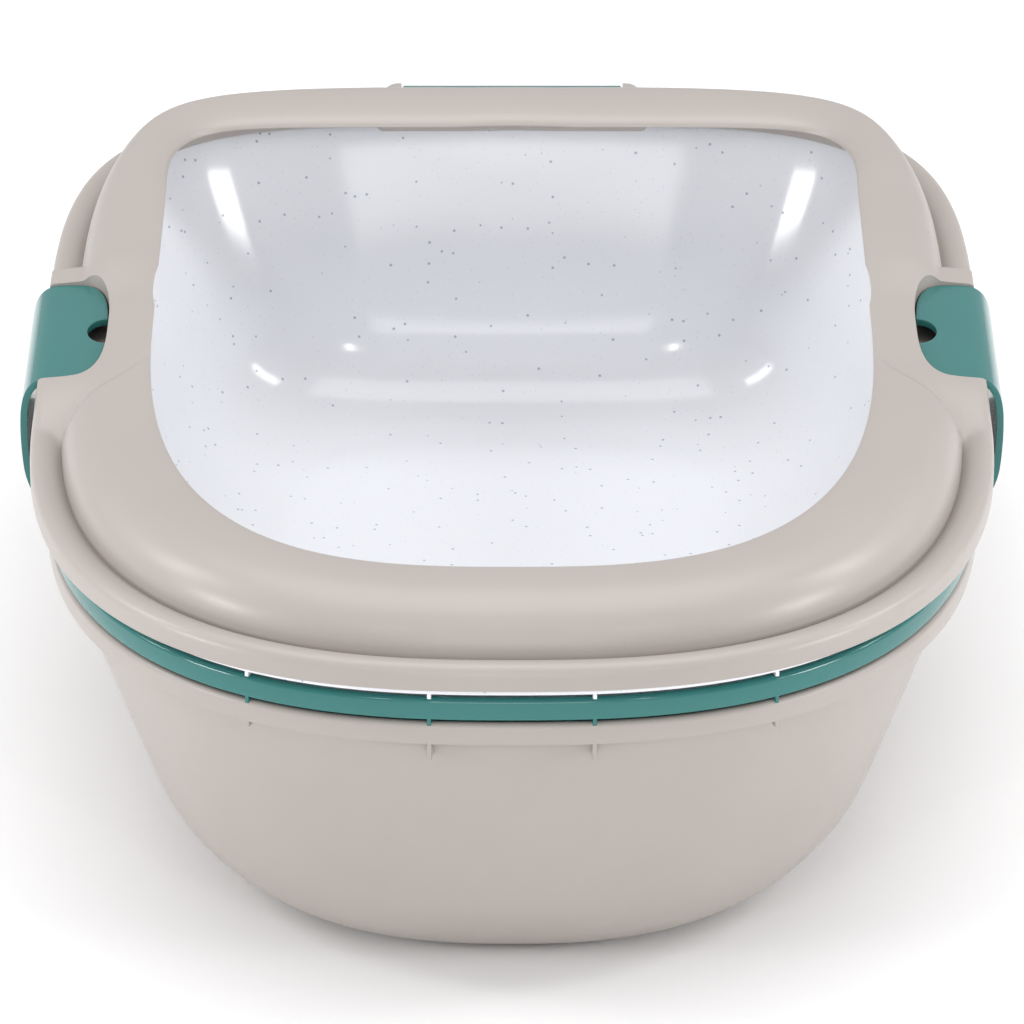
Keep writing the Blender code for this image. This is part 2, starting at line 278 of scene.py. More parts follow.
def combine(piece, tool, operation):
    """Join the tool to the piece, or cut it away, and delete the tool."""
    modifier = piece.modifiers.new("combine", "BOOLEAN")
    modifier.operation = operation
    modifier.solver = "EXACT"
    modifier.object = tool
    bpy.context.view_layer.update()
    graph = bpy.context.evaluated_depsgraph_get()
    shape = bpy.data.meshes.new_from_object(piece.evaluated_get(graph))
    piece.modifiers.clear()
    piece.data = shape
    bpy.data.objects.remove(tool, do_unlink=True)
    shape.shade_smooth()
    shape.set_sharp_from_angle(angle=math.radians(SHARP_DEGREES))
    print(piece.name, operation.lower(), len(shape.polygons), "faces")


def raise_outline(bm, points, low, high):
    """A solid with this plan outline between two heights."""
    face = bm.faces.new([bm.verts.new((x, y, low)) for x, y in points])
    made = bmesh.ops.extrude_face_region(bm, geom=[face])["geom"]
    top = [part for part in made if isinstance(part, bmesh.types.BMVert)]
    bmesh.ops.translate(bm, verts=top, vec=(0.0, 0.0, high - low))


def stadium(centre, length, width, steps=6):
    """A slot's outline: two half circles joined by straight sides, its length along X."""
    points = []
    for end, start in ((1, -90), (-1, 90)):
        for step in range(steps + 1):
            angle = math.radians(start + 180 * step / steps)
            x = centre[0] + end * (length - width) / 2 + width / 2 * math.cos(angle)
            points.append((x, centre[1] + width / 2 * math.sin(angle)))
    return points


# %% [markdown]
# The sieve's floor. The used litter is sifted by lifting the middle tray, so its flat floor has
# staggered slots, 8 mm wide, that let clean grains through and hold the clumps. One cutter holds
# every slot, which keeps this to a single Boolean.

# %% The sieve's slots
SLOT_LENGTH, SLOT_WIDTH = 30 * MM, 8 * MM
SLOT_PITCH_X, SLOT_PITCH_Y = 38 * MM, 26 * MM
SLOT_REACH_X, SLOT_REACH_Y = 80 * MM, 170 * MM
CUT_BELOW, CUT_ABOVE = 5 * MM, 8 * MM


def slot_cutter(low, high):
    """Every slot of the floor as one solid."""
    bm = bmesh.new()
    rows = int(SLOT_REACH_Y // SLOT_PITCH_Y)
    for row in range(-rows, rows + 1):
        for column in range(-3, 4):
            x = column * SLOT_PITCH_X + (SLOT_PITCH_X / 2 if row % 2 else 0.0)
            y = row * SLOT_PITCH_Y
            if (x / SLOT_REACH_X) ** 2 + (y / SLOT_REACH_Y) ** 2 < 1.0:
                raise_outline(bm, stadium((x, y), SLOT_LENGTH, SLOT_WIDTH), low, high)
    return finish_mesh("slot_cutter", bm)


cutter = slot_cutter(LIFTS["sieve"] - CUT_BELOW, LIFTS["sieve"] + CUT_ABOVE)
combine(sieve, cutter, "DIFFERENCE")

# %% [markdown]
# Spacer ribs. Under the front of every rim stand four thin blades, moulded between the wall and the
# skirt and reaching a little below it. They stop a nested tray from wedging tight. The two middle
# ones of the lowest tray are longer. Each is a small box, grown from a cube and joined to its tray.

# %% Ribs under the rims
RIB_ANGLES = [math.radians(-90 + sign * spread) for sign in (-1, 1) for spread in (6.4, 21.2)]
RIB_THICK = 1.6 * MM
RIB_REACHES = (
    # tray, its name, and how far its outer and its middle ribs reach below the skirt
    (lower_tray, "lower_tray", 2.0 * MM, 7.0 * MM),
    (sieve, "sieve", 2.6 * MM, 2.6 * MM),
    (upper_tray, "upper_tray", 1.8 * MM, 1.8 * MM),
)


def rib_tool(lift, angle, reach):
    """One blade, from inside the wall out to the skirt's face, hanging below the skirt."""
    at = np.array([angle])
    out = float(outline(at, RIM_INSET + 0.15 * MM)[0])
    inside = float(outline(at, WALL_TOP_INSET + 1.0 * MM)[0]) - reach * 0.6
    low = lift + TRAY_HEIGHT - SKIRT_DEPTH - reach
    high = lift + RIM_PLATE + 0.8 * MM
    bm = bmesh.new()
    bmesh.ops.create_cube(bm, size=1.0)
    bmesh.ops.scale(bm, vec=(out - inside, RIB_THICK, high - low), verts=bm.verts[:])
    bmesh.ops.translate(bm, verts=bm.verts[:], vec=((out + inside) / 2, 0.0, (high + low) / 2))
    upright = [e for e in bm.edges if abs(e.verts[0].co.z - e.verts[1].co.z) > high - low - MM]
    bmesh.ops.bevel(bm, geom=upright, offset=0.4 * MM, segments=2, profile=0.5, affect="EDGES",
                    material=-1)
    bmesh.ops.rotate(bm, verts=bm.verts[:], cent=(0, 0, 0), matrix=Matrix.Rotation(angle, 3, "Z"))
    return finish_mesh("rib", bm)


for moulding, name, outer_reach, middle_reach in RIB_REACHES:
    for angle in RIB_ANGLES:
        middle = abs(angle + math.pi / 2) < math.radians(10)
        reach = middle_reach if middle else outer_reach
        combine(moulding, rib_tool(LIFTS[name], angle, reach), "UNION")

# %% [markdown]
# The hood. A lip hangs over the tray rims, rolls over into a shallow groove, and then a broad
# bulge rises to the edge of the opening. At three places a saddle-shaped boss carries a clip.
# Instead of modelling the saddles apart and joining them, the hood is grown from rows like the
# trays, and each row is bent onto the saddles, so both run into one another as in a mould.
# These are the sizes of the hood's section, from its lip in to the opening.

# %% The hood's sizes
LIP_BOTTOM = HOOD_LOW.z
LIP_SHOULDER = LIP_BOTTOM + 6.5 * MM
FLANGE_TOP = LIP_BOTTOM + 10.6 * MM
GROOVE_INSET, GROOVE_Z = 13.0 * MM, LIP_BOTTOM + 7.2 * MM
CREST_Z = HOOD_HIGH.z
CREST_INSETS = (32.0 * MM, 43.0 * MM, 39.0 * MM)
CREST_REAR_POWER = 7.2
EDGE_Z = CREST_Z - 1.8 * MM
REAR_EDGE_BACK, REAR_EDGE_DROP = 4.5 * MM, 5.0 * MM
HOOD_WALL = 2.0 * MM
BULGE_POWER = 2.3
BULGE_ROWS, EDGE_ROWS = 24, 12
OPENING = (0.150, 0.020, 0.263, 2.9, 0.020, 0.208, 9.0)
HOOD_STATIONS = 520
print("hood from", round(LIP_BOTTOM, 4), "up to", round(CREST_Z, 4))

# %% [markdown]
# Where the clips sit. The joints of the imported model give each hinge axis, and the way each clip
# faces is known from the plan. Every saddle, pocket and clip is made in the clip's own frame, with
# its hinge at the origin and +X outward, and is then moved to its place.

# %% The clips' own frames
JOINTS = {joint["child"]: joint for joint in frame["joints"]}
FACING = {"left_clip": math.pi, "right_clip": 0.0, "rear_clip": math.pi / 2}


def clip_place(body):
    """The clip's own frame: origin on its hinge axis, +X outward."""
    return Matrix.Translation(JOINTS[body]["pos_m"]) @ Matrix.Rotation(FACING[body], 4, "Z")


def clip_axes(body, x, y):
    """Plan places in a clip's own frame: outward from its hinge, and towards the box's front."""
    local = clip_place(body).inverted()
    out = local[0][0] * x + local[0][1] * y + local[0][3]
    along = local[1][0] * x + local[1][1] * y + local[1][3]
    return out, -along if body == "right_clip" else along


for body in FACING:
    print(body, "turns about", [round(v, 4) for v in JOINTS[body]["pos_m"]])

# %% [markdown]
# The saddles. Each is a height over the plan: highest at the opening, lower at the lip, and falling
# away around its edges. Behind a side clip it ends in a short rounded step, and in front of it a
# long slope runs down to the groove. Between the two the saddle takes the bulge's place, and the
# bulge begins again in front of it with a round end.

# %% Saddles for the clips
BOSS_IN, BOSS_OUT = -40 * MM, 7.6 * MM
BOSS_TOP_IN, BOSS_TOP_OUT = 12.1 * MM, 5.0 * MM
REAR_BOSS_TOP = 11.0 * MM
BOSS_ROUND = 4 * MM
BOSS_BACK = 65 * MM
BOSS_FALL = 18 * MM       # far enough to be under the hood's surface
BOSS_GONE = 0.5           # far below the whole box


def soft_max(a, b, radius):
    """The higher of two heights, with the crease between them rounded."""
    return 0.5 * (a + b + np.sqrt((a - b) ** 2 + radius * radius))


def smooth_step(value, low, high):
    """0 below low, 1 above high, and an even S between them."""
    share = np.clip((value - low) / (high - low), 0.0, 1.0)
    return share * share * (3.0 - 2.0 * share)


def rounded_off(value, start, radius):
    """Drop of a quarter circle that begins at start."""
    share = np.clip((value - start) / radius, 0.0, 1.0)
    return radius * (1.0 - np.sqrt(1.0 - share * share))


def rear_boss(out, forward, reach):
    """Height over the hinge of the rear saddle, the same at both ends."""
    top = BOSS_TOP_OUT + (REAR_BOSS_TOP - BOSS_TOP_OUT) * reach
    fall = smooth_step(np.abs(forward), 52 * MM, 74 * MM) * BOSS_FALL
    return top - (fall + smooth_step(-out, 34 * MM, 55 * MM) * BOSS_GONE)


def side_boss(out, forward, reach):
    """Height over the hinge of a side saddle: a step behind the clip, a long slope before it."""
    top = BOSS_TOP_OUT + (BOSS_TOP_IN - BOSS_TOP_OUT) * reach ** 1.5
    behind = BOSS_BACK + BOSS_ROUND
    fall = rounded_off(-forward, BOSS_BACK, BOSS_ROUND)
    fall = fall + smooth_step(-forward, behind, behind + 2 * MM) * BOSS_FALL
    fall = fall + smooth_step(forward, 46 * MM, 104 * MM) * BOSS_FALL
    fall = fall + smooth_step(-out, 70 * MM, 90 * MM) * BOSS_GONE
    fall = fall + smooth_step(forward, 98 * MM, 125 * MM) * 0.1
    return top - fall


def boss_height(x, y):
    """Height of the three saddles over the plan, far below the hood where there is none."""
    highest = np.full(x.shape, -1.0)
    for body in FACING:
        out, forward = clip_axes(body, x, y)
        reach = np.clip((BOSS_OUT - out) / (BOSS_OUT - BOSS_IN), 0.0, 1.0)
        shape = rear_boss if body == "rear_clip" else side_boss
        top = shape(out, forward, reach) - rounded_off(out, BOSS_OUT - BOSS_ROUND, BOSS_ROUND)
        highest = np.maximum(highest, JOINTS[body]["pos_m"][2] + top)
    return highest


def shelf_share(x, y):
    """1 where a side saddle takes the place of the bulge, 0 where the bulge is whole."""
    share = np.zeros(x.shape)
    for body in ("left_clip", "right_clip"):
        out, forward = clip_axes(body, x, y)
        beyond = forward - 63 * MM - (out + 28 * MM) * 1.5
        ahead = 1.0 - smooth_step(beyond, -6 * MM, 6 * MM)
        behind = smooth_step(forward, -64 * MM, -25 * MM)
        share = np.maximum(share, ahead * behind * smooth_step(out, -70 * MM, -60 * MM))
    return share


on_clip = np.array([JOINTS["right_clip"]["pos_m"][:2]])
print("saddle at the hinge", np.round(boss_height(on_clip[:, 0], on_clip[:, 1]), 4))

# %% [markdown]
# The hood's outer rows. They run up the lip, over the flange, through the groove and up the bulge
# to its crest, and then round the edge of the opening as a quarter of an ellipse. At the rear the
# edge lies lower and further back, because the bulge is rolled over there into a bar.

# %% The hood's outer surface


def hood_rows(angles):
    """Outer surface of the hood, from the foot of the lip to the opening's edge."""
    groove = outline(angles, GROOVE_INSET)
    edge = np.interp(angles, *superellipse(*OPENING), period=2.0 * math.pi)
    crest = outline(angles, *CREST_INSETS, rear_power=CREST_REAR_POWER)
    rear = smooth_step(edge * np.sin(angles), 130 * MM, 215 * MM)
    edge = edge + rear * REAR_EDGE_BACK
    edge_z = EDGE_Z - rear * REAR_EDGE_DROP
    lip = [
        (0.7 * MM, LIP_BOTTOM), (0.2 * MM, LIP_BOTTOM + 0.3 * MM),
        (0.0, LIP_BOTTOM + 0.9 * MM), (0.0, LIP_BOTTOM + 3.5 * MM),
        (0.0, LIP_SHOULDER - 0.5 * MM), (0.25 * MM, LIP_SHOULDER + 1.0 * MM),
        (0.9 * MM, LIP_SHOULDER + 2.3 * MM), (2.0 * MM, FLANGE_TOP - 0.8 * MM),
        (3.4 * MM, FLANGE_TOP - 0.15 * MM), (5.0 * MM, FLANGE_TOP),
        (7.0 * MM, FLANGE_TOP - 0.2 * MM), (9.0 * MM, FLANGE_TOP - 0.8 * MM),
        (10.8 * MM, FLANGE_TOP - 1.9 * MM), (12.2 * MM, GROOVE_Z + 0.4 * MM),
    ]
    rows = [(outline(angles, inset), np.full(angles.shape, z)) for inset, z in lip]
    rows.append((groove, np.full(angles.shape, GROOVE_Z)))
    for step in range(1, BULGE_ROWS + 1):
        share = (step / BULGE_ROWS) ** 1.6
        rise = (1.0 - (1.0 - share) ** BULGE_POWER) ** (1.0 / BULGE_POWER)
        height = GROOVE_Z + (CREST_Z - GROOVE_Z) * rise
        rows.append((groove + (crest - groove) * share, np.full(angles.shape, height)))
    for step in range(1, EDGE_ROWS + 1):
        share = math.sin(math.pi / 2 * step / EDGE_ROWS)
        drop = 1.0 - math.cos(math.pi / 2 * step / EDGE_ROWS)
        rows.append((crest + (edge - crest) * share, CREST_Z - (CREST_Z - edge_z) * drop))
    return rows


def lifted(angles, radii, heights):
    """Bend a row onto the saddles. The lip's foot stays where it is."""
    x, y = radii * np.cos(angles), radii * np.sin(angles)
    boss = boss_height(x, y)
    joined = soft_max(heights, boss, 0.8 * MM)
    shelf = soft_max(np.minimum(heights, FLANGE_TOP), boss, 0.8 * MM)
    raised = np.minimum(joined + (shelf - joined) * shelf_share(x, y), CREST_Z)
    weight = smooth_step(outline(angles, 0.0) - radii, 0.1 * MM, 1.8 * MM)
    return heights + (raised - heights) * weight


print("outer surface in", len(hood_rows(even_angles(TRAY_STATIONS))), "rows")

# %% [markdown]
# The hood's underside. It is the outer surface moved in by the wall's thickness. Under a saddle it
# stays low enough for a clip's pocket to have a floor. The two surfaces are then grown as one
# strip, and bridging its first and last loops closes the shell.

# %% The hood's shell
POCKET_FLOOR = LIP_BOTTOM + 11.2 * MM


def inward(rows, thickness):
    """The same rows moved in by the wall's thickness, square to the section."""
    moved = []
    for index, (radii, heights) in enumerate(rows):
        before, after = rows[max(index - 1, 0)], rows[min(index + 1, len(rows) - 1)]
        run, rise = after[0] - before[0], after[1] - before[1]
        length = np.maximum(np.hypot(run, rise), 1e-6)
        drop = np.maximum(heights + run / length * thickness, LIP_BOTTOM)
        moved.append((radii - rise / length * thickness, drop))
    return moved


def sunk(angles, radii, heights):
    """Keep an underside row below the saddles, and below the pockets' floors."""
    x, y = radii * np.cos(angles), radii * np.sin(angles)
    shelf = np.maximum(boss_height(x, y), FLANGE_TOP)
    below = np.minimum(heights, shelf - HOOD_WALL)
    heights = heights + (below - heights) * shelf_share(x, y)
    for body in FACING:
        out, forward = clip_axes(body, x, y)
        room = smooth_step(np.abs(forward), 58 * MM, 74 * MM) + smooth_step(-out, 23 * MM, 31 * MM)
        heights = np.minimum(heights, POCKET_FLOOR - HOOD_WALL + room * 30 * MM)
    return heights


def near_clips(x, y):
    """How much closer together the hood's stations are beside the clips."""
    near = np.zeros_like(x)
    for body in FACING:
        spot = JOINTS[body]["pos_m"]
        distance = np.hypot(x - spot[0], y - spot[1])
        near = np.maximum(near, 1.0 - smooth_step(distance, 75 * MM, 110 * MM))
    return 2.5 * near


def hood_shell():
    """The hood as a closed shell, without its pockets."""
    angles = even_angles(HOOD_STATIONS, near_clips)
    rows = hood_rows(angles)
    outer = [(radii, lifted(angles, radii, heights)) for radii, heights in rows]
    fewer = rows[::2] + rows[-1:] if len(rows) % 2 == 0 else rows[::2]
    inner = [(radii, sunk(angles, radii, heights)) for radii, heights in inward(fewer, HOOD_WALL)]
    loops = outer + inner[::-1]
    bm = bmesh.new()
    first = start_ring(bm, angles, *loops[0])
    ring = first
    for radii, heights in loops[1:]:
        ring = grow_ring(bm, ring, angles, radii, heights)
    ends = []
    for loop in (first, ring):
        ends += [bm.edges.get((loop[i - 1], loop[i])) for i in range(len(angles))]
    bmesh.ops.bridge_loops(bm, edges=ends)
    return finish_mesh("hood_moulding", bm)


hood = hood_shell()

# %% [markdown]
# Clip pockets. Each saddle is hollowed where its clip lies: a flat-bottomed pocket follows the
# clip's rounded lobe with an even gap and runs out through the lip. A finger reaches into it under
# the clip's notch. A round bar cuts the two small holes that the clip's trunnions snap into.

# %% The lobe's outline, pockets and holes
CLIP_HALF = 49 * MM
CLIP_THICK = 2.8 * MM
LOBE_REACH, LOBE_CORNER, LOBE_POWER = 20 * MM, 15 * MM, 3.0
NOTCH_RADIUS, NOTCH_DEPTH = 12.5 * MM, 8.0 * MM
TRUNNION_RADIUS, TRUNNION_REACH, TRUNNION_GAP = 2.0 * MM, 4.0 * MM, 0.4 * MM
POCKET_GAP = 0.8 * MM
POCKET_OUT, POCKET_TOP = 30 * MM, 30 * MM     # past the hood, so that the pocket is cut through


def lobe_edge(along, notched):
    """How far inboard the clip reaches at a place along its width."""
    share = np.clip(np.abs(along) / CLIP_HALF, 0.0, 1.0)
    edge = -LOBE_REACH + LOBE_CORNER * (1.0 - (1.0 - share ** LOBE_POWER) ** (1.0 / LOBE_POWER))
    if notched:
        bite = np.sqrt(np.clip(1.0 - (along / NOTCH_RADIUS) ** 2, 0.0, 1.0))
        edge = edge + NOTCH_DEPTH * bite
    return edge


def tool_place(bm, body):
    """Move what was made in the clip's own frame to its place on the box."""
    bmesh.ops.transform(bm, matrix=clip_place(body), verts=bm.verts[:])


def pocket_tool(body):
    """The pocket round the lobe, open outward."""
    turn = np.linspace(-math.pi / 2, math.pi / 2, 49)
    along = (CLIP_HALF + POCKET_GAP) * np.sin(turn)
    inboard = lobe_edge(along * CLIP_HALF / (CLIP_HALF + POCKET_GAP), False) - POCKET_GAP
    points = list(zip(inboard, along)) + [(POCKET_OUT, along[-1]), (POCKET_OUT, along[0])]
    bm = bmesh.new()
    raise_outline(bm, points, POCKET_FLOOR - JOINTS[body]["pos_m"][2], POCKET_TOP)
    tool_place(bm, body)
    return finish_mesh("pocket_tool", bm)


def bore_tool(body, radius, length):
    """A round bar along the hinge axis."""
    bm = bmesh.new()
    lying = Matrix.Rotation(math.pi / 2, 4, "X")
    bmesh.ops.create_cone(bm, cap_ends=True, segments=32, radius1=radius, radius2=radius,
                          depth=length, matrix=lying)
    tool_place(bm, body)
    return finish_mesh("bore_tool", bm)


for body in FACING:
    combine(hood, pocket_tool(body), "DIFFERENCE")
    bore = 2 * (CLIP_HALF + TRUNNION_REACH + TRUNNION_GAP)
    combine(hood, bore_tool(body, TRUNNION_RADIUS + TRUNNION_GAP, bore), "DIFFERENCE")

# %% [markdown]
# The rocker clips. A clip is one springy plate: a flat lobe with a half-round notch for the thumb,
# a round shoulder, a long face that hangs down outside the lip, and a hooked foot that curls in
# below the tray rims. It is grown as a thin sheet, one row of vertices after another along its
# side view, then given its thickness, and its rim is rounded with a bevel. A rib and a bar under
# the lobe carry the trunnions.

# %% Clips
PLATE_Z = 4.6 * MM
LOBE_STEPS, ROUTE_STEPS = 8, 6
# The side view in millimetres from the hinge: outward, and up
CLIP_ROUTE = (
    (-1.0, 4.6), (4.0, 4.2), (8.0, 2.5), (11.0, -0.9), (12.9, -6.0), (13.8, -13.0),
    (13.8, -24.0), (12.8, -36.5), (10.9, -44.0), (8.4, -48.6), (5.6, -50.1), (2.4, -49.6),
)


def smooth_route(points, steps):
    """Points along a Catmull-Rom curve through the given ones."""
    points = [np.array(point) for point in points]
    known = [2 * points[0] - points[1], *points, 2 * points[-1] - points[-2]]
    route = []
    for before, start, end, after in zip(known, known[1:], known[2:], known[3:]):
        for step in range(steps):
            t = step / steps
            bend = 2 * before - 5 * start + 4 * end - after
            twist = 3 * (start - end) + after - before
            route.append(start + 0.5 * t * ((end - before) + t * (bend + t * twist)))
    return [*route, known[-2]]


def clip_columns():
    """Places along the width: close together in the notch and at the lobe's round corners."""
    turn = np.linspace(0.0, math.pi / 2, 15)
    notch = NOTCH_RADIUS * np.sin(turn)
    flank = NOTCH_RADIUS + (CLIP_HALF - NOTCH_RADIUS) * np.sin(np.linspace(0.0, math.pi / 2, 25))
    half = np.concatenate([notch, flank[1:]])
    return np.concatenate([-half[:0:-1], half])


def grow_row(bm, row, points):
    """Extrude an open row of vertices and move the new one onto the points."""
    edges = [bm.edges.get(pair) for pair in zip(row, row[1:])]
    made = bmesh.ops.extrude_edge_only(bm, edges=edges)["geom"]
    fresh = {part for part in made if isinstance(part, bmesh.types.BMVert)}
    grown = [next(e.other_vert(v) for e in v.link_edges if e.other_vert(v) in fresh) for v in row]
    for vert, point in zip(grown, points):
        vert.co = point
    return grown


def clip_sheet(bm):
    """The clip's middle surface: the lobe first, then the route down to the hook."""
    columns = clip_columns()
    start = lobe_edge(columns, True)
    row = [bm.verts.new((x, y, PLATE_Z)) for x, y in zip(start, columns)]
    for pair in zip(row, row[1:]):
        bm.edges.new(pair)
    for step in range(1, LOBE_STEPS + 1):
        reach = start + (CLIP_ROUTE[0][0] * MM - start) * step / LOBE_STEPS
        row = grow_row(bm, row, [(x, y, PLATE_Z) for x, y in zip(reach, columns)])
    for x, z in smooth_route(CLIP_ROUTE, ROUTE_STEPS)[1:]:
        row = grow_row(bm, row, [(x * MM, y, z * MM) for y in columns])


def clip(name, body):
    """One rocker clip with its trunnions, in its place on the box."""
    bm = bmesh.new()
    clip_sheet(bm)
    bmesh.ops.recalc_face_normals(bm, faces=bm.faces[:])
    bmesh.ops.solidify(bm, geom=bm.faces[:], thickness=CLIP_THICK)
    bmesh.ops.recalc_face_normals(bm, faces=bm.faces[:])
    rim = [e for e in bm.edges if e.is_manifold and e.calc_face_angle() > math.radians(50)]
    bmesh.ops.bevel(bm, geom=rim, offset=0.7 * MM, segments=3, profile=0.5, affect="EDGES",
                    material=-1, clamp_overlap=True)
    tool_place(bm, body)
    piece = finish_mesh(name, bm)
    combine(piece, web_tool(body), "UNION")
    combine(piece, bore_tool(body, TRUNNION_RADIUS, 2 * (CLIP_HALF + TRUNNION_REACH)), "UNION")
    return piece


def web_tool(body):
    """The rib that joins the trunnion bar to the underside of the lobe."""
    half = TRUNNION_RADIUS * 0.8
    end = CLIP_HALF - 2 * MM
    bm = bmesh.new()
    points = [(-half, -end), (half, -end), (half, end), (-half, end)]
    raise_outline(bm, points, -half, PLATE_Z - 1.0 * MM)
    tool_place(bm, body)
    return finish_mesh("web_tool", bm)


clips = {
    "clip_left": clip("left_clip_moulding", "left_clip"),
    "clip_right": clip("right_clip_moulding", "right_clip"),
    "clip_rear": clip("rear_clip_moulding", "rear_clip"),
}

# %% [markdown]
# The camera stands in front of the low edge and looks down at 24.5 degrees through a long lens, so
# that the box keeps its proportions with little perspective.

# %% Camera
TARGET = Vector((0.0, -0.03, 0.10))
ELEVATION = math.radians(24.5)
DISTANCE = 3.40
camera_data = bpy.data.cameras.new("camera")
camera_data.lens = 286.0
camera = bpy.data.objects.new("camera", camera_data)
bpy.context.scene.collection.objects.link(camera)
camera.location = TARGET + DISTANCE * Vector((0.0, -math.cos(ELEVATION), math.sin(ELEVATION)))
camera.rotation_euler = (math.pi / 2 - ELEVATION, 0.0, 0.0)
bpy.context.scene.camera = camera
camera_data.clip_end = 60.0
bpy.context.scene.view_settings.view_transform = "Standard"
print("camera at", [round(v, 2) for v in camera.location])

# %% [markdown]
# Colours are easiest to choose as the hex values that paint and plastic swatches use. Shaders work
# in linear light, so one function turns a hex value into linear numbers. A second small function
# adds any node, with its settings and its links, so that each material reads as a short recipe.

# %% Colour and node helpers


def hex_to_linear(code):
    """sRGB hex to the linear RGBA that shaders use."""
    channels = [int(code[i:i + 2], 16) / 255 for i in (0, 2, 4)]
    return [c / 12.92 if c <= 0.04045 else ((c + 0.055) / 1.055) ** 2.4 for c in channels] + [1.0]


def add_node(tree, kind, inputs, **settings):
    """Add a node, give it its settings, and fill or link its inputs."""
    node = tree.nodes.new(kind)
    for name, value in settings.items():
        setattr(node, name, value)
    for name, value in inputs.items():
        if isinstance(value, bpy.types.NodeSocket):
            tree.links.new(value, node.inputs[name])
        else:
            node.inputs[name].default_value = value
    return node


def plastic_base(name, ior, specular):
    """A new material, with its tree, its shader and the object's own coordinates."""
    material = bpy.data.materials.new(name)
    material.use_nodes = True
    tree = material.node_tree
    shader = tree.nodes["Principled BSDF"]
    shader.inputs["IOR"].default_value = ior
    shader.inputs["Specular IOR Level"].default_value = specular
    shader.inputs["Metallic"].default_value = 0.0
    coordinates = add_node(tree, "ShaderNodeTexCoord", {}).outputs["Object"]
    return material, tree, shader, coordinates


# %% [markdown]
# Taupe polypropylene. The hood and the outer tray are moulded in a tool with a fine spark-eroded
# grain, so they have a satin skin: broad soft highlights, and a very fine even roughness to the
# touch. Polypropylene has an index of refraction of 1.49. The pigment drifts by a per cent or two
# over the wide walls, which keeps a large plain surface from looking painted.

# %% Taupe polypropylene, spark-eroded
GRAIN = 0.9 * MM          # real grain is 0.1 to 0.2 mm, drawn coarser so that it shows
PIGMENT_DRIFT = 70 * MM


def pigment(tree, at, dark, light):
    """Two nearly equal tones that drift into one another over a wide wall."""
    drift = add_node(tree, "ShaderNodeTexNoise", {
        "Vector": at, "Scale": 1 / PIGMENT_DRIFT, "Detail": 2.0,
    })
    return add_node(tree, "ShaderNodeMixRGB", {
        "Fac": drift.outputs["Fac"],
        "Color1": hex_to_linear(dark), "Color2": hex_to_linear(light),
    }).outputs["Color"]


def skin(tree, value, low, high, smoothest, roughest):
    """Roughness between two values, following a pattern's value."""
    return add_node(tree, "ShaderNodeMapRange", {
        "Value": value, "From Min": low, "From Max": high,
        "To Min": smoothest, "To Max": roughest,
    }).outputs["Result"]


def surface(tree, shader, tint, rough, height, strength, depth):
    """Wire colour, roughness and a fine relief into the shader."""
    bump = add_node(tree, "ShaderNodeBump", {
        "Height": height, "Strength": strength, "Distance": depth,
    })
    tree.links.new(tint, shader.inputs["Base Color"])
    tree.links.new(rough, shader.inputs["Roughness"])
    tree.links.new(bump.outputs["Normal"], shader.inputs["Normal"])


def taupe_polypropylene():
    material, tree, shader, at = plastic_base("taupe_polypropylene_satin", 1.49, 0.5)
    tint = pigment(tree, at, "A8A09A", "AEA7A1")
    grain = add_node(tree, "ShaderNodeTexNoise", {
        "Vector": at, "Scale": 1 / GRAIN, "Detail": 3.0,
    }).outputs["Fac"]
    rough = skin(tree, grain, 0.3, 0.7, 0.30, 0.40)
    surface(tree, shader, tint, rough, grain, 0.25, 0.10 * MM)
    return material


taupe = taupe_polypropylene()
print(taupe.name, "with", len(taupe.node_tree.nodes), "nodes")

# %% [markdown]
# Petrol green polypropylene. The sieve and the clips come from a polished tool, so they shine more
# than the hood. A faint waviness, like orange peel, breaks up the long highlights on the rim.

# %% Petrol polypropylene, polished
PEEL = 5 * MM


def petrol_polypropylene():
    material, tree, shader, at = plastic_base("petrol_polypropylene_gloss", 1.49, 0.5)
    tint = pigment(tree, at, "2B6E6B", "317672")
    peel = add_node(tree, "ShaderNodeTexNoise", {
        "Vector": at, "Scale": 1 / PEEL, "Detail": 1.0,
    }).outputs["Fac"]
    grain = add_node(tree, "ShaderNodeTexNoise", {
        "Vector": at, "Scale": 1 / GRAIN, "Detail": 2.0,
    }).outputs["Fac"]
    rough = skin(tree, grain, 0.3, 0.7, 0.13, 0.17)
    surface(tree, shader, tint, rough, peel, 0.3, 0.05 * MM)
    return material


petrol = petrol_polypropylene()
print(petrol.name, "with", len(petrol.node_tree.nodes), "nodes")

# %% [markdown]
# Granite white polypropylene. The litter tray is white with a cool tint and is filled with small
# grey-blue flecks, so that dust and scratches hardly show. It comes from a mirror-polished tool and
# reflects lamps as sharp strips. A Voronoi texture places one point in each cell. Only some cells,
# picked by their random colour, show their fleck, and a second finer layer gives the specks.

# %% Granite white polypropylene, mirror-polished
FLECK_SPACING, FLECK_SIZE = 5.5 * MM, 0.80 * MM
SPECK_SPACING, SPECK_SIZE = 2.6 * MM, 0.42 * MM


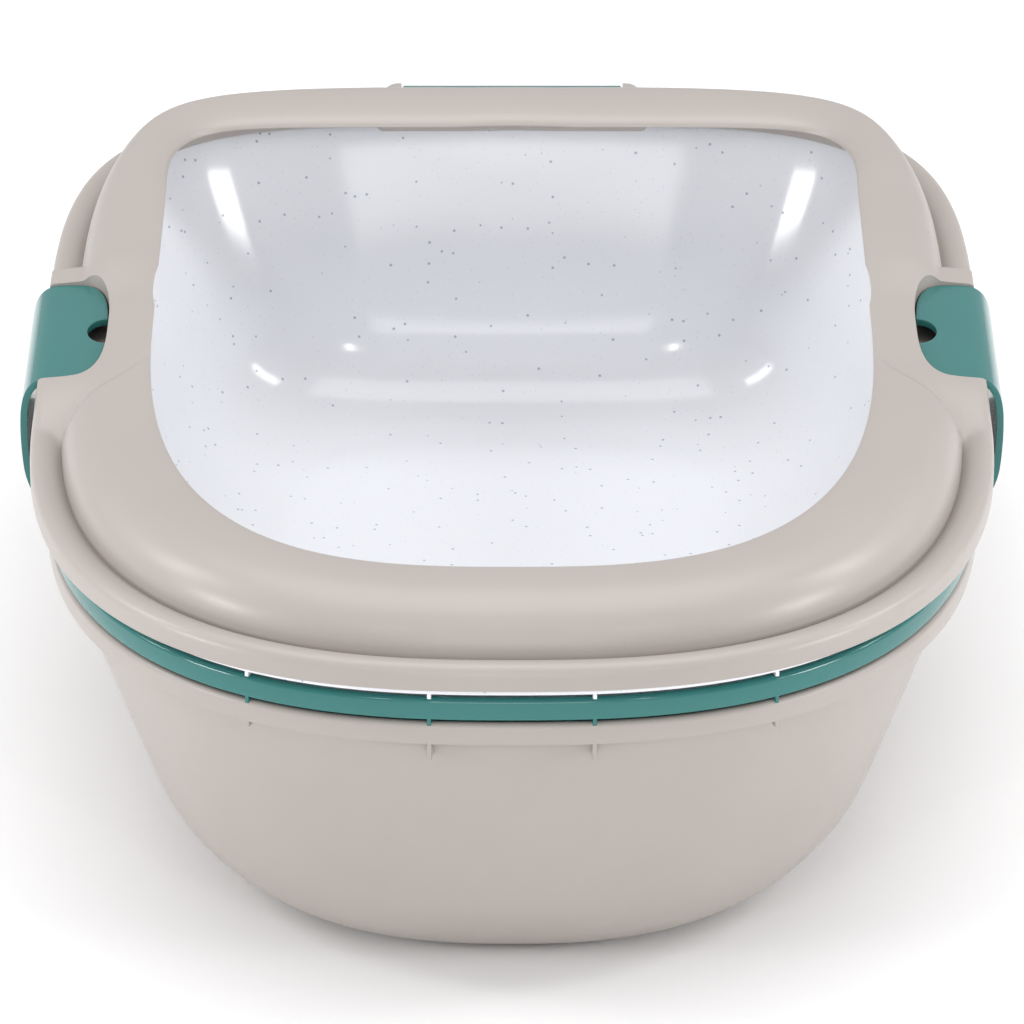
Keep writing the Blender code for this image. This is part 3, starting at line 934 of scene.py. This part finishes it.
def fleck_layer(tree, at, spacing, size, share, strength):
    """Strength on a fleck and 0 elsewhere, with this share of the cells showing one."""
    cells = add_node(tree, "ShaderNodeTexVoronoi", {
        "Vector": at, "Scale": 1 / spacing, "Randomness": 1.0,
    })
    spot = add_node(tree, "ShaderNodeMapRange", {
        "Value": cells.outputs["Distance"],
        "From Min": 0.6 * size / spacing, "From Max": size / spacing,
        "To Min": strength, "To Max": 0.0,
    })
    parts = add_node(tree, "ShaderNodeSeparateColor", {"Color": cells.outputs["Color"]})
    chosen = add_node(tree, "ShaderNodeMath", {0: parts.outputs["Red"], 1: share},
                      operation="LESS_THAN")
    shown = add_node(tree, "ShaderNodeMath", {0: spot.outputs["Result"], 1: chosen.outputs[0]},
                     operation="MULTIPLY")
    return shown.outputs[0]


def granite_white_polypropylene():
    material, tree, shader, at = plastic_base("granite_white_polypropylene", 1.49, 0.5)
    flecks = fleck_layer(tree, at, FLECK_SPACING, FLECK_SIZE, 0.45, 0.75)
    specks = fleck_layer(tree, at, SPECK_SPACING, SPECK_SIZE, 0.5, 0.45)
    plain = add_node(tree, "ShaderNodeMixRGB", {
        "Fac": specks, "Color1": hex_to_linear("EEF0F4"), "Color2": hex_to_linear("C3CBD5"),
    })
    tint = add_node(tree, "ShaderNodeMixRGB", {
        "Fac": flecks, "Color1": plain.outputs["Color"], "Color2": hex_to_linear("939FAC"),
    })
    wave = add_node(tree, "ShaderNodeTexNoise", {
        "Vector": at, "Scale": 1 / PIGMENT_DRIFT, "Detail": 1.0,
    })
    rough = skin(tree, flecks, 0.0, 1.0, 0.12, 0.22)
    surface(tree, shader, tint.outputs["Color"], rough, wave.outputs["Fac"], 0.3, 0.5 * MM)
    return material


granite = granite_white_polypropylene()
print(granite.name, "with", len(granite.node_tree.nodes), "nodes")

# %% [markdown]
# Each moulding gets its plastic, rides on the body of the CAD node that it stands for, and hides
# that node. The clips ride on their own bodies, so they rock on the hood.

# %% Dressing the pieces
for piece, body, node, plastic, slot in (
    (lower_tray, "base_tray", "lower_tray", taupe, "taupe_plastic"),
    (sieve, "sieve_tray", "sieve", petrol, "petrol_plastic"),
    (upper_tray, "litter_tray", "upper_tray", granite, "granite_white_plastic"),
    (hood, "hood_ring", "hood", taupe, "taupe_plastic"),
    (clips["clip_left"], "left_clip", "clip_left", petrol, "petrol_plastic"),
    (clips["clip_right"], "right_clip", "clip_right", petrol, "petrol_plastic"),
    (clips["clip_rear"], "rear_clip", "clip_rear", petrol, "petrol_plastic"),
):
    piece.data.materials.clear()
    piece.data.materials.append(plastic)
    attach(piece, body)
    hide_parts(node)
    print(piece.name, "rides on", body)

# %% [markdown]
# A pale paper floor. It is a single large sheet, wide enough that its edge is never seen.

# %% Floor


def pale_floor():
    """A sheet of matt paper under the box."""
    bm = bmesh.new()
    bmesh.ops.create_grid(bm, x_segments=1, y_segments=1, size=30.0)
    sheet = finish_mesh("floor", bm)
    material = bpy.data.materials.new("studio_paper")
    material.use_nodes = True
    shader = material.node_tree.nodes["Principled BSDF"]
    shader.inputs["Base Color"].default_value = hex_to_linear("F8F8F8")
    shader.inputs["Roughness"].default_value = 0.9
    sheet.data.materials.append(material)


pale_floor()

# %% [markdown]
# Studio light. A bright pale room fills every side, a wide panel hangs overhead, and two weaker
# ones stand behind the camera. The other lamps are there for what the polished plastics reflect.
# The low front panel is seen in the back wall of the white tray, the wall strip as the bright line
# down each rear corner, the corner strip at its foot, and the rim lamp as a dash on the rims.
# Each pair of side lamps is listed once, for the right-hand side.

# %% World and lamps
world = bpy.data.worlds.new("studio")
bpy.context.scene.world = world
world.use_nodes = True
background = world.node_tree.nodes["Background"]
background.inputs["Color"].default_value = hex_to_linear("FCFCFF")
background.inputs["Strength"].default_value = 0.58


def panel_lamp(name, place, aim, width, height, power):
    """A flat lamp of this size at a place, turned to face a point."""
    data = bpy.data.lights.new(name, "AREA")
    data.shape = "RECTANGLE"
    data.size, data.size_y = width, height
    data.energy = power
    lamp = bpy.data.objects.new(name, data)
    lamp.location = place
    lamp.rotation_euler = (Vector(aim) - Vector(place)).to_track_quat("-Z", "Y").to_euler()
    bpy.context.scene.collection.objects.link(lamp)


MIDDLE = (0.0, 0.0, 0.10)
PAIRED_LAMPS = (
    # name, place, width, height, power in watts
    ("wall_strip", (1.87, -0.80, 0.57), 0.55, 0.34, 10.5),
    ("corner_strip", (1.87, 0.14, 1.35), 0.30, 0.90, 10.0),
    ("rim_lamp", (1.00, -2.75, 1.80), 0.12, 0.30, 4.0),
)
panel_lamp("overhead_panel", (0.0, 0.1, 2.2), MIDDLE, 2.2, 1.8, 26)
panel_lamp("front_panel", (0.0, -2.6, 1.7), MIDDLE, 1.1, 2.0, 3)
panel_lamp("low_front_panel", (0.0, -2.6, 0.55), MIDDLE, 0.9, 0.6, 6.5)
for name, (x, y, z), width, height, power in PAIRED_LAMPS:
    panel_lamp(name + "_left", (-x, y, z), MIDDLE, width, height, power)
    panel_lamp(name + "_right", (x, y, z), MIDDLE, width, height, power)
